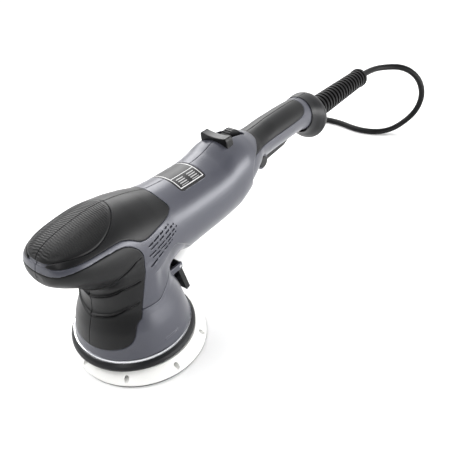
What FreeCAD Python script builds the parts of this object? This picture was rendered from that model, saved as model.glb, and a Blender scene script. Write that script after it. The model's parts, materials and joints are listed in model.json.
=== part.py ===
"""Dual action polisher: a 125 mm backing plate on an eccentric, a brushless motor
lying along the body, a bevel gear head, a rear handle and a mains lead.

Millimetres. Z is up, the spindle axis is the Z axis, and z = 0 is the underside of the
hook face. The palm nose points along -X and the handle along +X. y = 0 is the plane
on which the two halves of the housing meet.
"""

import math
import os

import FreeCAD
import Part

# ---- driving dimensions ---------------------------------------------------------
PLATE_R = 62.5            # backing plate, outside
HOOK_R = 61.5             # hook face
HOOK_T = 2.5
PLATE_TOP = 12.0          # top of the plate's rim
PLATE_HUB_TOP = 15.0
THROW = 6.0               # eccentric radius, so the orbit is 12 mm across
THROW_DEG = -72.0         # where the eccentric stands at rest
VENT_COUNT = 8
VENT_R = 2.3
VENT_DEG = 31.8

WALL = 3.4                # housing wall
SKIN = 1.6                # thickness of the rubber overmould
SEAM = 0.06               # each half stops this far from y = 0
GAP = 0.12                # between pieces that are fixed beside each other

SPLIT_Z = 66.6            # height of the joint between bell and body on the spindle axis
SPLIT_SLOPE = 0.38        # rise of that joint per mm of X
BELL_BACK = 42.0          # where the bell ends against the rear of the neck

MOTOR_Z = 105.0           # height of the motor axis
PINION_TEETH = 10
CROWN_TEETH = 30
MODULE = 1.8
GEAR_FACE = 9.0
CASE_R = 33.4             # outside of the gear case

HANDLE_END = 312.0
CORD_Z = 107.0            # height at which the lead leaves
CORD_EXIT_X = 463.0
CORD_R = 4.25
CORD_FLOOR = 4.4          # centre height of a lead lying on the floor

COIL_X = 100.0
COIL_Y = 114.0
COIL_MID_R = 50.0
COIL_ROWS = 3             # turns side by side and layers on each other

# Body outline: X, top, bottom, half width
BODY = [
    (-80.0, 132.0, 127.0, 5.0),
    (-78.4, 137.5, 122.5, 14.0),
    (-75.0, 145.8, 119.0, 21.0),
    (-69.0, 150.5, 114.5, 26.5),
    (-60.0, 153.6, 108.5, 30.8),
    (-45.0, 156.3, 97.0, 34.8),
    (-20.0, 158.2, 82.0, 38.0),
    (0.0, 155.8, 73.0, 38.5),
    (20.0, 151.0, 68.5, 37.6),
    (40.0, 144.8, 67.0, 36.2),
    (60.0, 142.6, 67.5, 35.2),
    (98.0, 141.6, 68.0, 35.0),
    (116.0, 143.6, 68.0, 35.0),
    (135.0, 148.9, 68.5, 35.0),
    (150.0, 149.8, 73.0, 34.0),
    (165.0, 147.0, 82.0, 31.5),
    (180.0, 141.2, 93.5, 27.0),
    (192.0, 136.4, 99.5, 22.5),
]
# Handle frame outline: X, top, bottom, half width
HANDLE = [
    (148.0, 141.0, 77.0, 31.8),
    (165.0, 140.2, 85.5, 29.6),
    (180.0, 138.4, 94.5, 25.6),
    (192.0, 136.6, 98.4, 21.6),
    (206.0, 137.1, 99.2, 19.7),
    (226.0, 138.4, 99.2, 19.2),
    (255.0, 138.4, 99.0, 19.0),
    (280.0, 137.6, 98.4, 18.8),
    (300.0, 136.0, 94.5, 19.6),
    (HANDLE_END, 134.6, 89.5, 21.4),
]
# Bell outline: height, radius
BELL = [
    (23.6, 54.0),
    (29.0, 52.6),
    (39.0, 50.3),
    (47.0, 48.1),
    (54.6, 45.2),
    (61.0, 42.6),
    (67.0, 40.6),
    (75.0, 39.6),
    (100.0, 39.0),
]

# Collar outline: X, top, bottom, half width
COLLAR = [
    (294.0, 137.4, 94.8, 20.4),
    (301.0, 137.2, 89.0, 22.6),
    (308.0, 136.9, 81.8, 26.2),
    (313.5, 136.2, 78.3, 28.2),
    (318.5, 134.0, 80.4, 27.0),
    (322.5, 128.5, 86.0, 21.5),
]
RIB_COUNT = 16

HEAD_R = 3.3
SCREWS = [
    (-58.0, 126.0, 29.4),
    (12.0, 141.0, 25.2),
    (125.6, 104.0, 34.4),
    (201.0, 111.5, 17.4),
    (276.0, 110.5, 16.2),
]

LEVER_X = 48.0            # pivot of the spindle lock lever
LEVER_Z = 62.0
LEVER_PIN_R = 1.5
TRIGGER_X = 258.0         # pivot of the paddle trigger
TRIGGER_Z = 105.0
TRIGGER_PIN_R = 1.5
BUTTON_X = 189.0
BUTTON_Z = 107.0
BUTTON_FACE = -22.4
DIAL_X = 160.0
DIAL_Z = 138.5
DIAL_R = 12.4

TAIL_DEG = 300.0          # where round the coil the tail leaves it for the plug
TAIL_LONG = 46.0
PLUG_Z = 12.9
PIN_R = 2.4
PIN_LONG = 18.5           # free length of a plug pin
PIN_NECK_R = 2.0

# Route of the lead from the strain relief to the coil
CORD_ROUTE = [
    (CORD_EXIT_X, 0.0, CORD_Z),
    (497.5, 0.0, 107.0),
    (528.0, -12.0, 104.3),
    (544.5, -33.5, 102.6),
    (556.5, -52.5, 87.0),
    (562.0, -61.5, 61.7),
    (560.0, -57.5, 35.0),
    (550.0, -43.5, 15.0),
    (530.0, -29.0, 5.4),
    (513.5, -7.5, CORD_FLOOR),
    (510.5, 18.5, CORD_FLOOR),
    (519.0, 50.0, CORD_FLOOR),
    (516.0, 84.0, CORD_FLOOR),
    (497.0, 109.0, CORD_FLOOR),
    (463.0, 119.0, CORD_FLOOR),
    (424.0, 115.0, CORD_FLOOR),
    (384.0, 114.0, CORD_FLOOR),
    (345.0, 122.0, CORD_FLOOR),
    (308.0, 137.0, CORD_FLOOR),
    (272.0, 150.0, CORD_FLOOR),
    (229.0, 161.0, CORD_FLOOR),
    (186.0, 168.5, CORD_FLOOR),
    (143.0, 172.0, CORD_FLOOR),
    (COIL_X, COIL_Y + COIL_MID_R + (COIL_ROWS - 1) * CORD_R, CORD_FLOOR),
]

V = FreeCAD.Vector
X_AXIS = V(1, 0, 0)
Y_AXIS = V(0, 1, 0)
Z_AXIS = V(0, 0, 1)
THROW_AT = V(
    THROW * math.cos(math.radians(THROW_DEG)),
    THROW * math.sin(math.radians(THROW_DEG)),
    0,
)
PARTS = {}


# ---- shape helpers --------------------------------------------------------------
def rod(radius, start, end, axis=Z_AXIS, at=(0, 0)):
    """A cylinder from start to end along axis; at gives the other two coordinates."""
    if axis == X_AXIS:
        base = V(start, at[0], at[1])
    elif axis == Y_AXIS:
        base = V(at[0], start, at[1])
    else:
        base = V(at[0], at[1], start)
    return Part.makeCylinder(radius, end - start, base, axis)


def tube(outer, inner, start, end, axis=Z_AXIS, at=(0, 0)):
    return rod(outer, start, end, axis, at).cut(rod(inner, start, end, axis, at))


def block(x0, x1, y0, y1, z0, z1):
    return Part.makeBox(x1 - x0, y1 - y0, z1 - z0, V(x0, y0, z0))


def turned(points, at=V(0, 0, 0)):
    """A solid of revolution about the vertical through at; points are (radius, height)."""
    ring = [V(r, 0, z) for r, z in points]
    face = Part.Face(Part.makePolygon(ring + ring[:1]))
    solid = face.revolve(V(0, 0, 0), Z_AXIS, 360)
    solid.translate(at)
    return solid


def turned_x(points, z):
    """A solid of revolution about the line along X at that height; (x, radius) points."""
    ring = [V(x, 0, r) for x, r in points]
    face = Part.Face(Part.makePolygon(ring + ring[:1]))
    solid = face.revolve(V(0, 0, 0), X_AXIS, 360)
    solid.translate(V(0, 0, z))
    return solid


def side_prism(points, y0=-80.0, y1=80.0):
    """A prism across the tool from an (X, Z) outline."""
    ring = [V(x, y0, z) for x, z in points]
    return Part.Face(Part.makePolygon(ring + ring[:1])).extrude(V(0, y1 - y0, 0))


def oval_section(x, top, bottom, half_width, inset):
    """One closed oval wire across the tool."""
    middle = (top + bottom) / 2
    tall = (top - bottom) / 2 - inset
    wide = half_width - inset
    count = 20
    points = []
    for k in range(count):
        a = 2 * math.pi * k / count
        points.append(V(x, wide * math.sin(a), middle - tall * math.cos(a)))
    curve = Part.BSplineCurve()
    curve.interpolate(Points=points, PeriodicFlag=True)
    return Part.Wire([curve.toShape()])


def lofted(stations, inset=0.0, skip_front=0):
    wires = []
    for x, top, bottom, half_width in stations[skip_front:]:
        wires.append(oval_section(x, top, bottom, half_width, inset))
    return Part.makeLoft(wires, True, False)


def bell_form(inset=0.0, bottom=None):
    low = BELL[0][0] if bottom is None else bottom
    outline = [(0, low), (BELL[0][1] - inset, low)]
    outline += [(r - inset, z) for z, r in BELL[1:]]
    outline.append((0, BELL[-1][0]))
    return turned(outline)


def body_form(inset=0.0):
    front = 2 if inset > SKIN else 1 if inset else 0
    form = lofted(BODY, inset, front)
    return form.fuse(bell_form(inset, BELL[0][0] - (1.0 if inset else 0.0)))


def halves(solid):
    """Splits a solid at the seam into its -Y half and its +Y half."""
    left = solid.common(block(-200, 500, -200, -SEAM, -50, 300))
    right = solid.common(block(-200, 500, SEAM, 200, -50, 300))
    return left, right


def keep(name, shape):
    """Files a shape under its node name as clean solids, biggest first."""
    solids = sorted(shape.Solids, key=lambda s: -s.Volume)
    solids = [s for s in solids if s.Volume > 0.5]
    if name in PARTS:
        raise ValueError(name)
    PARTS[name] = solids[0] if len(solids) == 1 else Part.makeCompound(solids)


def around(shape, count, first_deg=0.0, centre=V(0, 0, 0), axis=Z_AXIS):
    copies = []
    for k in range(count):
        copy = shape.copy()
        copy.rotate(centre, axis, first_deg + 360.0 * k / count)
        copies.append(copy)
    return copies


def bell_zone(margin=0.0):
    """What lies below the tilted joint between bell and body, as far as the neck's rear."""
    front = -100.0
    back = BELL_BACK + margin
    return side_prism(
        [
            (front, SPLIT_Z + SPLIT_SLOPE * front + margin),
            (20.0, SPLIT_Z + SPLIT_SLOPE * 20.0 + margin),
            (back, 76.5 + margin),
            (back, 66.4 + margin),
            (60.0, 66.4 + margin),
            (60.0, 0.0),
            (front, 0.0),
        ]
    )


# ---- backing plate, which turns on the eccentric --------------------------------
def make_plate():
    keep("hook_face", tube(HOOK_R, 11.0, 0, HOOK_T, at=(THROW_AT.x, THROW_AT.y)))
    dish = turned(
        [
            (4.3, 8.5),
            (10.6, 8.5),
            (10.6, HOOK_T),
            (PLATE_R, HOOK_T),
            (PLATE_R, 3.9),
            (52.8, PLATE_TOP),
            (50.0, PLATE_TOP),
            (46.5, 5.2),
            (22.0, 5.2),
            (18.0, PLATE_HUB_TOP),
            (4.3, PLATE_HUB_TOP),
        ]
    )
    vent = rod(VENT_R, 44.0, 66.0, X_AXIS, at=(0, 7.0))
    dish = dish.cut(Part.makeCompound(around(vent, VENT_COUNT, VENT_DEG)))
    dish.translate(THROW_AT)
    keep("backing_plate", dish)
    at = (THROW_AT.x, THROW_AT.y)
    keep("plate_washer", tube(9.8, 4.3, 7.0, 8.5, at=at))
    screw = rod(6.5, 2.9, 7.0, at=at).fuse(rod(4.0, 7.0, 32.0, at=at))
    hexagon = [
        V(at[0] + 2.9 * math.cos(math.pi * k / 3), at[1] + 2.9 * math.sin(math.pi * k / 3), 2.0)
        for k in range(6)
    ]
    key = Part.Face(Part.makePolygon(hexagon + hexagon[:1])).extrude(V(0, 0, 3.6))
    keep("plate_screw", screw.cut(key))
    spindle = turned(
        [
            (4.05, PLATE_HUB_TOP),
            (14.0, PLATE_HUB_TOP),
            (14.0, 17.6),
            (9.2, 17.6),
            (9.2, 19.2),
            (7.45, 19.2),
            (7.45, 43.6),
            (0.0, 43.6),
            (0.0, 34.0),
            (4.05, 34.0),
        ],
        THROW_AT,
    )
    clip_groove = tube(8.0, 6.9, 41.0, 42.2, at=at)
    keep("output_spindle", spindle.cut(clip_groove))
    clip = tube(9.0, 6.9, 41.0, 42.2, at=at)
    opening = block(at[0], at[0] + 10, at[1] - 2.5, at[1] + 2.5, 40, 43)
    keep("spindle_clip", clip.cut(opening))


# ---- spindle, counterweight and crown gear --------------------------------------
def tooth_outline(pitch_r, cone_deg):
    """Half thicknesses of one tooth at four depths, from the virtual spur gear."""
    virtual_r = pitch_r / math.cos(math.radians(cone_deg))
    pressure = math.radians(20)
    base_r = virtual_r * math.cos(pressure)
    half_at_pitch = math.pi * MODULE / 4 - 0.16
    involute_at_pitch = math.tan(pressure) - pressure
    rows = []
    for depth in (-1.15 * MODULE, -0.55 * MODULE, 0.0, 0.45 * MODULE, 0.85 * MODULE):
        r = max(virtual_r + depth, base_r)
        angle = math.acos(base_r / r)
        involute = math.tan(angle) - angle
        half = (half_at_pitch / virtual_r - (involute - involute_at_pitch)) * r
        rows.append((depth, half))
    return rows


def bevel_tooth(pitch_r, cone_deg):
    """One tooth about +X on a gear whose axis is Z and whose apex is the origin."""
    cone = math.radians(cone_deg)
    along = V(math.sin(cone), 0, math.cos(cone))
    out = V(math.cos(cone), 0, -math.sin(cone))
    if cone_deg > 45:
        along = V(math.sin(cone), 0, -math.cos(cone))
        out = V(math.cos(cone), 0, math.sin(cone))
    rows = tooth_outline(pitch_r, cone_deg)
    wires = []
    for reach in (OUTER_REACH, INNER_REACH):
        scale = reach / OUTER_REACH
        points = []
        for side in (1, -1):
            ordered = rows if side == 1 else rows[::-1]
            for depth, half in ordered:
                points.append(along * reach + out * (depth * scale) + V(0, side * half * scale, 0))
        wires.append(Part.makePolygon(points + points[:1]))
    return Part.makeLoft(wires, True, True)


PINION_PITCH_R = MODULE * PINION_TEETH / 2
CROWN_PITCH_R = MODULE * CROWN_TEETH / 2
CROWN_CONE = math.degrees(math.atan2(CROWN_PITCH_R, PINION_PITCH_R))
PINION_CONE = 90.0 - CROWN_CONE
OUTER_REACH = math.hypot(PINION_PITCH_R, CROWN_PITCH_R)
INNER_REACH = OUTER_REACH - GEAR_FACE


def cone_point(reach, cone_deg, depth):
    """(radius, height below the apex) of a point on the cone, sunk by depth."""
    cone = math.radians(cone_deg)
    radius = reach * math.sin(cone) - depth * math.cos(cone)
    drop = reach * math.cos(cone) + depth * math.sin(cone)
    return radius, drop


def make_crown():
    root = 1.1 * MODULE
    outer_r, outer_drop = cone_point(OUTER_REACH, CROWN_CONE, root)
    inner_r, inner_drop = cone_point(INNER_REACH, CROWN_CONE, root * INNER_REACH / OUTER_REACH)
    blank = turned(
        [
            (7.5, MOTOR_Z - inner_drop - 1.0),
            (inner_r - 1.5, MOTOR_Z - inner_drop - 1.0),
            (inner_r, MOTOR_Z - inner_drop),
            (outer_r, MOTOR_Z - outer_drop),
            (outer_r, MOTOR_Z - outer_drop - 4.0),
            (17.0, MOTOR_Z - outer_drop - 8.0),
            (13.0, 76.0),
            (7.5, 76.0),
        ]
    )
    tooth = bevel_tooth(CROWN_PITCH_R, CROWN_CONE)
    tooth.translate(V(0, 0, MOTOR_Z))
    keep("crown_gear", blank.multiFuse(around(tooth, CROWN_TEETH)))


def make_pinion():
    root = 1.1 * MODULE
    outer_r = cone_point(OUTER_REACH, PINION_CONE, root)[0]
    inner_r = cone_point(INNER_REACH, PINION_CONE, root * INNER_REACH / OUTER_REACH)[0]
    outer_x = OUTER_REACH * math.cos(math.radians(PINION_CONE))
    inner_x = INNER_REACH * math.cos(math.radians(PINION_CONE))
    blank = turned_x(
        [(inner_x, 0), (inner_x, inner_r), (outer_x, outer_r), (34.0, outer_r), (34.0, 0)],
        MOTOR_Z,
    )
    tooth = bevel_tooth(PINION_PITCH_R, PINION_CONE)
    tooth.rotate(V(0, 0, 0), Y_AXIS, 90)
    tooth.translate(V(0, 0, MOTOR_Z))
    half_pitch = 180.0 / PINION_TEETH
    teeth = around(tooth, PINION_TEETH, half_pitch, V(0, 0, MOTOR_Z), X_AXIS)
    bore = rod(4.0, inner_x - 1, 35.0, X_AXIS, at=(0, MOTOR_Z))
    keep("pinion", blank.multiFuse(teeth).cut(bore))


FLANGE_R = 43.0           # lock flange of the counterweight
LOBE_R = 41.5             # its heavy side


def make_spindle():
    at = (THROW_AT.x, THROW_AT.y)
    hub = rod(20.0, 20.0, 45.0, at=at)
    web = rod(22.0, 45.0, 51.0)
    flange = rod(FLANGE_R, 27.0, 33.0)
    lobe = rod(LOBE_R, 20.5, 39.5).common(block(-60.0, 60.0, 8.0, 60.0, 0.0, 60.0))
    lobe.rotate(V(0, 0, 0), Z_AXIS, THROW_DEG + 90.0)
    weight = hub.multiFuse([web, flange, lobe])
    weight = weight.cut(rod(16.0, 19.0, 41.5, at=at))
    weight = weight.cut(rod(13.0, 41.0, 44.8, at=at))
    weight = weight.cut(rod(6.0, 44.0, 52.0))
    notch = block(FLANGE_R - 3.0, FLANGE_R + 2.0, -5.0, 5.0, 25.0, 35.0)
    keep("counterweight", weight.cut(Part.makeCompound(around(notch, 4))))
    races = [tube(16.0, 7.5, low, low + 9.0, at=at) for low in (20.4, 31.6)]
    keep("eccentric_bearings", Part.makeCompound(races))
    keep(
        "spindle",
        turned(
            [
                (0, 45.6),
                (6.0, 45.6),
                (6.0, 51.0),
                (10.0, 51.0),
                (10.0, 54.0),
                (7.5, 54.0),
                (7.5, 106.0),
                (6.0, 107.5),
                (6.0, 121.0),
                (0, 121.0),
            ]
        ),
    )
    make_crown()


# ---- aluminium gear case and its bearings ---------------------------------------
def make_gear_case():
    case = turned(
        [
            (17.5, 55.5),
            (27.5, 55.5),
            (28.9, 59.0),
            (CASE_R, 68.0),
            (CASE_R, 118.0),
            (28.6, 118.0),
            (28.6, 72.0),
            (12.0, 72.0),
            (12.0, 67.0),
            (17.5, 67.0),
        ]
    )
    boss = rod(19.0, 29.0, 47.0, X_AXIS, at=(0, MOTOR_Z))
    boss = boss.cut(rod(30.0, 60.0, 140.0))
    case = case.fuse(boss)
    case = case.cut(rod(15.0, 36.5, 48.0, X_AXIS, at=(0, MOTOR_Z)))
    case = case.cut(rod(12.5, 20.0, 37.0, X_AXIS, at=(0, MOTOR_Z)))
    case = case.cut(block(-50.0, 50.0, -50.0, 50.0, 118.0, 130.0))
    cap = turned(
        [
            (9.5, 113.4),
            (13.6, 113.4),
            (13.6, 118.1),
            (CASE_R, 118.1),
            (CASE_R, 122.5),
            (15.0, 124.0),
            (15.0, 126.5),
            (0, 126.5),
            (0, 124.2),
            (9.5, 124.2),
        ]
    )
    holes = around(rod(1.5, 104.0, 124.0, at=(31.0, 0)), 4, 45.0)
    keep("gear_case", case.cut(Part.makeCompound(holes)))
    keep("gear_case_cap", cap.cut(Part.makeCompound(holes)))
    one = rod(1.45, 106.0, 123.2, at=(31.0, 0)).fuse(rod(2.6, 123.2, 125.4, at=(31.0, 0)))
    keep("gear_case_screws", Part.makeCompound(around(one, 4, 45.0)))
    keep("spindle_bearing_lower", tube(17.5, 7.53, 55.7, 66.7))
    keep("spindle_bearing_upper", tube(9.5, 6.03, 114.0, 123.0))


# ---- motor ----------------------------------------------------------------------
def make_motor():
    at = (0, MOTOR_Z)
    shaft = turned_x(
        [
            (19.0, 0),
            (19.0, 3.95),
            (34.0, 3.95),
            (34.0, 5.0),
            (112.0, 5.0),
            (112.0, 4.0),
            (126.0, 4.0),
            (126.0, 0),
        ],
        MOTOR_Z,
    )
    keep("rotor_shaft", shaft)
    make_pinion()
    keep("motor_bearing_front", tube(15.0, 5.03, 36.8, 45.8, X_AXIS, at))
    keep("motor_bearing_rear", tube(11.0, 4.03, 114.0, 121.0, X_AXIS, at))
    hub = tube(10.0, 5.0, 49.0, 58.0, X_AXIS, at)
    disc = tube(27.5, 5.0, 56.5, 58.0, X_AXIS, at)
    blade = block(49.5, 57.0, -0.7, 0.7, MOTOR_Z + 9.0, MOTOR_Z + 27.0)
    blades = around(blade, 14, 0.0, V(0, 0, MOTOR_Z), X_AXIS)
    keep("fan", hub.multiFuse([disc] + blades))
    keep("rotor_core", tube(18.0, 5.0, 66.0, 100.0, X_AXIS, at))
    magnet = tube(21.2, 18.0, 66.5, 99.5, X_AXIS, at)
    slots = [
        block(60.0, 110.0, -0.8, 0.8, MOTOR_Z + 17.0, MOTOR_Z + 23.0),
        block(60.0, 110.0, -0.8, 0.8, MOTOR_Z - 23.0, MOTOR_Z - 17.0),
        block(60.0, 110.0, 17.0, 23.0, MOTOR_Z - 0.8, MOTOR_Z + 0.8),
        block(60.0, 110.0, -23.0, -17.0, MOTOR_Z - 0.8, MOTOR_Z + 0.8),
    ]
    keep("rotor_magnets", magnet.cut(Part.makeCompound(slots)))
    keep("stator_core", tube(30.4, 22.0, 66.0, 100.0, X_AXIS, at))
    front = tube(28.5, 23.0, 61.0, 65.9, X_AXIS, at)
    rear = tube(28.5, 23.0, 100.1, 106.0, X_AXIS, at)
    keep("stator_windings", Part.makeCompound([front, rear]))
    support = tube(30.6, 11.0, 113.0, 123.0, X_AXIS, at)
    window = block(112.0, 124.0, -6.0, 6.0, MOTOR_Z + 15.0, MOTOR_Z + 26.0)
    windows = around(window, 6, 0.0, V(0, 0, MOTOR_Z), X_AXIS)
    keep("motor_rear_support", support.cut(Part.makeCompound(windows)))
    board = tube(27.0, 12.0, 108.0, 109.6, X_AXIS, at)
    keep("rotor_sensor_board", board)


# ---- housing --------------------------------------------------------------------
CAP_OUTLINE = [            # rubber over the palm end and the front of the body
    (-90.0, 140.4),
    (-24.0, 140.6),
    (-15.0, 137.0),
    (-7.0, 131.0),
    (0.0, 129.0),
    (20.0, 130.2),
    (32.0, 130.4),
    (40.5, 133.6),
    (37.0, 142.0),
    (33.0, 170.0),
    (-90.0, 170.0),
]
CHIN_OUTLINE = [           # rubber under the nose and down the front of the neck
    (-95.0, 133.2),
    (-78.0, 134.4),
    (-66.0, 136.6),
    (-27.0, 137.0),
    (-18.0, 133.5),
    (-12.0, 128.0),
    (-8.5, 122.0),
    (-7.6, 117.0),
    (-8.4, 104.0),
    (-18.0, 61.0),
    (-25.5, 56.0),
    (-28.4, 50.0),
    (-31.5, 43.5),
    (-36.0, 38.0),
    (-44.0, 33.6),
    (-56.0, 30.0),
    (-95.0, 30.0),
]
RIM_OUTLINE = [            # what the handle's root leaves open at the rear of the body
    (330.0, 180.0),
    (189.0, 180.0),
    (189.0, 137.0),
    (172.0, 131.5),
    (158.0, 123.0),
    (152.5, 112.0),
    (156.0, 99.0),
    (173.0, 86.0),
    (186.0, 60.0),
    (330.0, 60.0),
]
GRIP_OUTLINE = [           # rubber on the upper side of the handle
    (140.0, 112.0),
    (152.5, 116.3),
    (157.0, 119.0),
    (162.0, 122.5),
    (168.0, 124.8),
    (176.0, 125.2),
    (190.0, 124.0),
    (206.0, 123.5),
    (266.0, 123.5),
    (275.0, 124.3),
    (281.0, 127.0),
    (284.5, 131.0),
    (285.4, 135.0),
    (285.0, 150.0),
    (140.0, 150.0),
]
PAD_CENTRE_X = -43.0
PAD_LONG = 35.0
PAD_WIDE = 27.5


def pad_prism(grow=0.0):
    """The oval of the textured palm pad, seen from above."""
    oval = Part.Ellipse(V(PAD_CENTRE_X, 0, 0), PAD_LONG + grow, PAD_WIDE + grow)
    face = Part.Face(Part.Wire([oval.toShape()]))
    face.translate(V(0, 0, 138.0))
    return face.extrude(V(0, 0, 60.0))


def make_vents():
    """Five columns of slots in six leaning rows, through both sides of the body."""
    slots = []
    for row in range(6):
        for column in range(5):
            x = 2.0 + 6.6 * column + 1.3 * row
            z = 121.0 - 3.9 * row
            slots.append(block(x, x + 4.4, -60.0, 60.0, z, z + 1.5))
    return Part.makeCompound(slots)


def make_housing():
    outer = body_form()
    rind = outer.cut(body_form(SKIN))
    shell = outer.cut(body_form(WALL))
    cap_zone = side_prism(CAP_OUTLINE)
    chin_zone = side_prism(CHIN_OUTLINE)
    cap = rind.common(cap_zone)
    chin = rind.common(chin_zone)
    sunk = screw_set(HEAD_R + 0.1, 0.2)
    keep("palm_pad", cap.common(pad_prism()))
    keep("nose_cap", cap.cut(pad_prism(GAP)).cut(sunk))
    keep("neck_grip", Part.makeCompound(halves(chin.cut(sunk))))
    label = rind.common(block(62.0, 97.0, -20.0, 20.0, 130.0, 170.0))
    keep("rating_label", label)
    upper = shell.cut(bell_zone(0.06)).cut(side_prism(RIM_OUTLINE))
    upper = upper.cut(block(-100, 100, -60, 60, 0, 55))
    upper = upper.cut(rod(CASE_R + 0.15, 60.0, 123.0))
    for taken in (cap, chin, label, make_vents()):
        upper = upper.cut(taken)
    upper = upper.cut(block(DIAL_X - 14.0, DIAL_X + 14.0, -9.5, 9.5, 135.0, 170.0))
    upper = upper.cut(block(DIAL_X - 7.5, DIAL_X + 7.5, 4.5, 11.5, 120.0, DIAL_Z + 2.5))
    left, right = halves(upper)
    keep("housing_left", left)
    keep("housing_right", right.cut(sunk))
    web = tube(48.0, 29.8, 56.0, 59.0).common(bell_form(WALL - 0.5)).common(bell_zone(-0.3))
    lower = shell.common(bell_zone(-0.06)).cut(chin).fuse(web)
    lug = block(33.0, 51.0, 19.6, 22.6, 58.5, 65.5).cut(bell_form(WALL - 0.5))
    lugs = [lug, lug.mirror(V(0, 0, 0), Y_AXIS)]
    lower = lower.multiFuse(lugs)
    lower = lower.cut(rod(LEVER_PIN_R, -30, 30, Y_AXIS, at=(LEVER_X, LEVER_Z)))
    lower = lower.cut(rod(4.4, 40.0, 60.0, X_AXIS, at=(0, 30.0)))
    keep("bell_housing", lower)
    keep("housing_screws", screw_set())


def make_lock_lever():
    """A lever behind the bell whose pawl reaches through it to the counterweight."""
    bar = side_prism([(56.8, 24.4), (61.6, 25.8), (50.3, 64.2), (45.6, 62.6)], -19.0, 19.0)
    eye = rod(3.6, -19.0, 19.0, Y_AXIS, at=(LEVER_X, LEVER_Z))
    pawl = rod(3.5, 43.6, 56.5, X_AXIS, at=(0, 30.0))
    bar = bar.multiFuse([eye, pawl])
    hole = rod(LEVER_PIN_R + 0.05, -30, 30, Y_AXIS, at=(LEVER_X, LEVER_Z))
    keep("lock_lever", bar.cut(hole))
    keep("lock_lever_pin", rod(LEVER_PIN_R, -22.6, 22.6, Y_AXIS, at=(LEVER_X, LEVER_Z)))


def make_rings():
    keep("trim_ring", tube(54.9, 50.6, 20.5, 23.5))
    keep(
        "skirt",
        turned(
            [
                (50.6, 20.4),
                (55.6, 20.4),
                (57.4, 18.8),
                (58.4, 16.6),
                (58.4, 14.7),
                (55.6, 14.7),
                (54.2, 17.6),
                (50.6, 17.6),
            ]
        ),
    )


# ---- handle ---------------------------------------------------------------------
def make_handle():
    outer = lofted(HANDLE)
    rind = outer.cut(lofted(HANDLE, SKIN))
    button_hole = rod(8.6, -40.0, -10.0, Y_AXIS, at=(BUTTON_X, BUTTON_Z))
    grip = rind.common(side_prism(GRIP_OUTLINE)).common(side_prism(RIM_OUTLINE))
    grip = grip.cut(button_hole).cut(block(DIAL_X - 14.0, DIAL_X + 14.0, -9.5, 11.6, 120.0, 170.0))
    keep("handle_grip", Part.makeCompound(halves(grip)))
    frame = outer.cut(lofted(HANDLE, WALL)).cut(grip)
    frame = frame.cut(block(190.5, 266.0, -8.6, 8.6, 80.0, 109.5))
    frame = frame.cut(block(DIAL_X - 14.0, DIAL_X + 14.0, -9.5, 11.6, 120.0, 170.0))
    left, right = halves(frame)
    pin = rod(TRIGGER_PIN_R, -30, 30, Y_AXIS, at=(TRIGGER_X, TRIGGER_Z))
    left = left.cut(pin).cut(button_hole).cut(PARTS["housing_left"])
    right = right.cut(pin).cut(screw_set(HEAD_R + 0.1, 0.2)).cut(PARTS["housing_right"])
    keep("handle_frame_left", left)
    keep("handle_frame_right", right)
    collar = lofted(COLLAR).cut(lofted(HANDLE, -0.12))
    collar = collar.cut(block(250, HANDLE_END + 0.1, -18, 18, 95, 130))
    collar = collar.cut(rod(15.0, 300.0, 330.0, X_AXIS, at=(0, CORD_Z)))
    keep("collar", collar)


def screw_set(head_r=None, extra=0.0):
    """The case screws, put in from the +Y side: (X, Z, Y of the head's face)."""
    screws = []
    for x, z, face in SCREWS:
        head = rod(head_r or HEAD_R, face - 3.0 - extra, face + extra, Y_AXIS, at=(x, z))
        shank = rod(1.5 + extra / 2, face - 12.0, face - 3.0, Y_AXIS, at=(x, z))
        screw = head.fuse(shank)
        if head_r is None:
            screw = screw.cut(block(x - 2.2, x + 2.2, face - 1.2, face, z - 0.5, z + 0.5))
            screw = screw.cut(block(x - 0.5, x + 0.5, face - 1.2, face, z - 2.2, z + 2.2))
        screws.append(screw)
    return Part.makeCompound(screws)


def make_trigger():
    paddle = side_prism(
        [
            (194.0, 96.0),
            (196.5, 93.2),
            (204.0, 92.2),
            (252.0, 95.8),
            (261.0, 99.4),
            (263.5, 103.0),
            (262.0, 107.6),
            (254.0, 107.8),
            (250.0, 103.0),
            (206.0, 103.0),
            (197.0, 100.8),
        ],
        -8.0,
        8.0,
    )
    hole = rod(TRIGGER_PIN_R + 0.05, -30, 30, Y_AXIS, at=(TRIGGER_X, TRIGGER_Z))
    keep("trigger", paddle.cut(hole))
    keep("trigger_pin", rod(TRIGGER_PIN_R, -11.4, 11.4, Y_AXIS, at=(TRIGGER_X, TRIGGER_Z)))
    keep("trigger_spring", tube(3.0, 2.2, 103.1, 108.4, at=(233.0, 0)))
    switch = block(208.0, 238.0, -8.0, 8.0, 108.5, 124.0)
    keep("switch", switch.fuse(rod(2.0, 105.7, 109.0, at=(220.0, 0))))
    face = BUTTON_FACE
    at = (BUTTON_X, BUTTON_Z)
    keep("button_bezel", tube(8.5, 6.45, face + 1.6, face + 7.0, Y_AXIS, at))
    cap = rod(6.35, face, face + 7.5, Y_AXIS, at)
    keep("lock_button", cap.fuse(rod(2.5, face + 7.5, face + 13.0, Y_AXIS, at)))


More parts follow.
